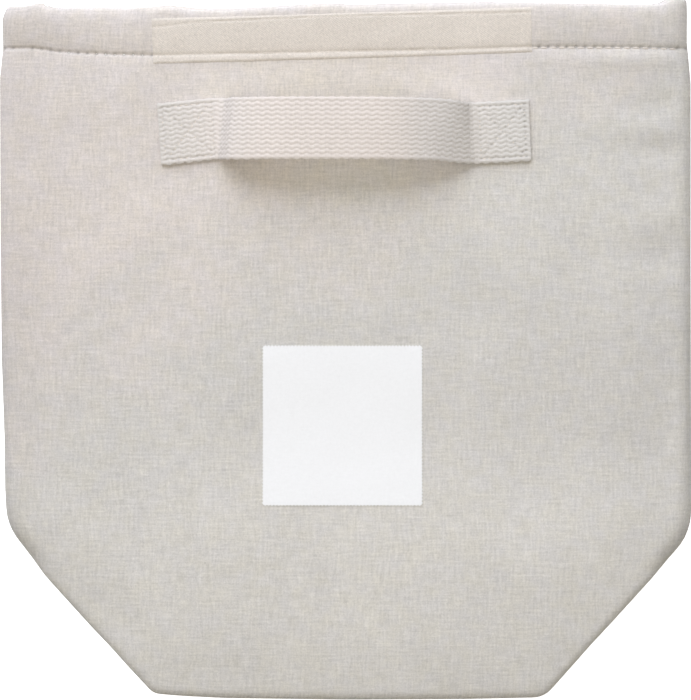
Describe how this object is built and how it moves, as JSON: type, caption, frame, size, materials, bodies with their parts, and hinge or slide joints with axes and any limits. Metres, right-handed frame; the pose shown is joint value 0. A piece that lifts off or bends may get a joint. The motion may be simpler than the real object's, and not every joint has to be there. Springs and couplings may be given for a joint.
{
  "type": "rolltop cooler bag",
  "caption": "Soft insulated lunch bag lying flat and empty, with a padded cloth body, a folded-in square base, a roll-down top with hook-and-loop tape and a webbing handle.",
  "frame": {"origin": "middle of the flat bag's outline, on the surface that its back lies on", "axes": "+X to the right along the rim, +Y from the base to the rim, +Z out of the front face, where the handle is"},
  "size_m": [0.345, 0.347, 0.0346],
  "materials": {
    "cloth": "matte woven melange cloth",
    "foam": "closed-cell foam sheet",
    "lining": "satin metallised film",
    "webbing": "matte cotton webbing",
    "tape": "matte brushed tape",
    "thread": "matte sewing thread",
    "patch": "matte white print cloth",
    "binding": "matte woven binding"
  },
  "bodies": {
    "bag": {"front_cloth": "cloth", "back_cloth": "cloth", "front_foam": "foam", "back_foam": "foam", "front_lining": "lining", "back_lining": "lining", "print_patch": "patch", "hook_tape": "tape", "hook_tape_stitching": "thread", "handle_left_end": "webbing", "handle_right_end": "webbing", "handle_left_rise": "webbing", "handle_right_rise": "webbing", "handle_left_stitching": "thread", "handle_right_stitching": "thread", "left_seam_binding": "binding", "right_seam_binding": "binding", "base_seam_binding": "binding"},
    "band": {"front_band_cloth": "cloth", "back_band_cloth": "cloth", "front_band_foam": "foam", "back_band_foam": "foam", "front_band_lining": "lining", "back_band_lining": "lining", "left_band_binding": "binding", "right_band_binding": "binding"},
    "rim": {"front_hem": "cloth", "back_hem": "cloth", "front_hem_foam": "foam", "back_hem_foam": "foam", "front_hem_stitching": "thread", "back_hem_stitching": "thread", "loop_tape": "tape", "loop_tape_stitching": "thread"},
    "handle": {"handle_grip": "webbing"}
  },
  "joints": [
    {"name": "band_roll", "type": "hinge", "parent": "bag", "child": "band", "pos_m": [0, 0.1265, -0.0092], "axis": [-1, 0, 0], "range_deg": [0, 176]},
    {"name": "rim_fold", "type": "hinge", "parent": "band", "child": "rim", "pos_m": [0, 0.1485, -0.0004], "axis": [-1, 0, 0], "range_deg": [0, 176]},
    {"name": "handle_lift", "type": "hinge", "parent": "bag", "child": "handle", "pos_m": [0, 0.1255, 0.0146], "axis": [-1, 0, 0], "range_deg": [-20, 85], "deforming": ["handle_left_rise", "handle_right_rise"]}
  ]
}
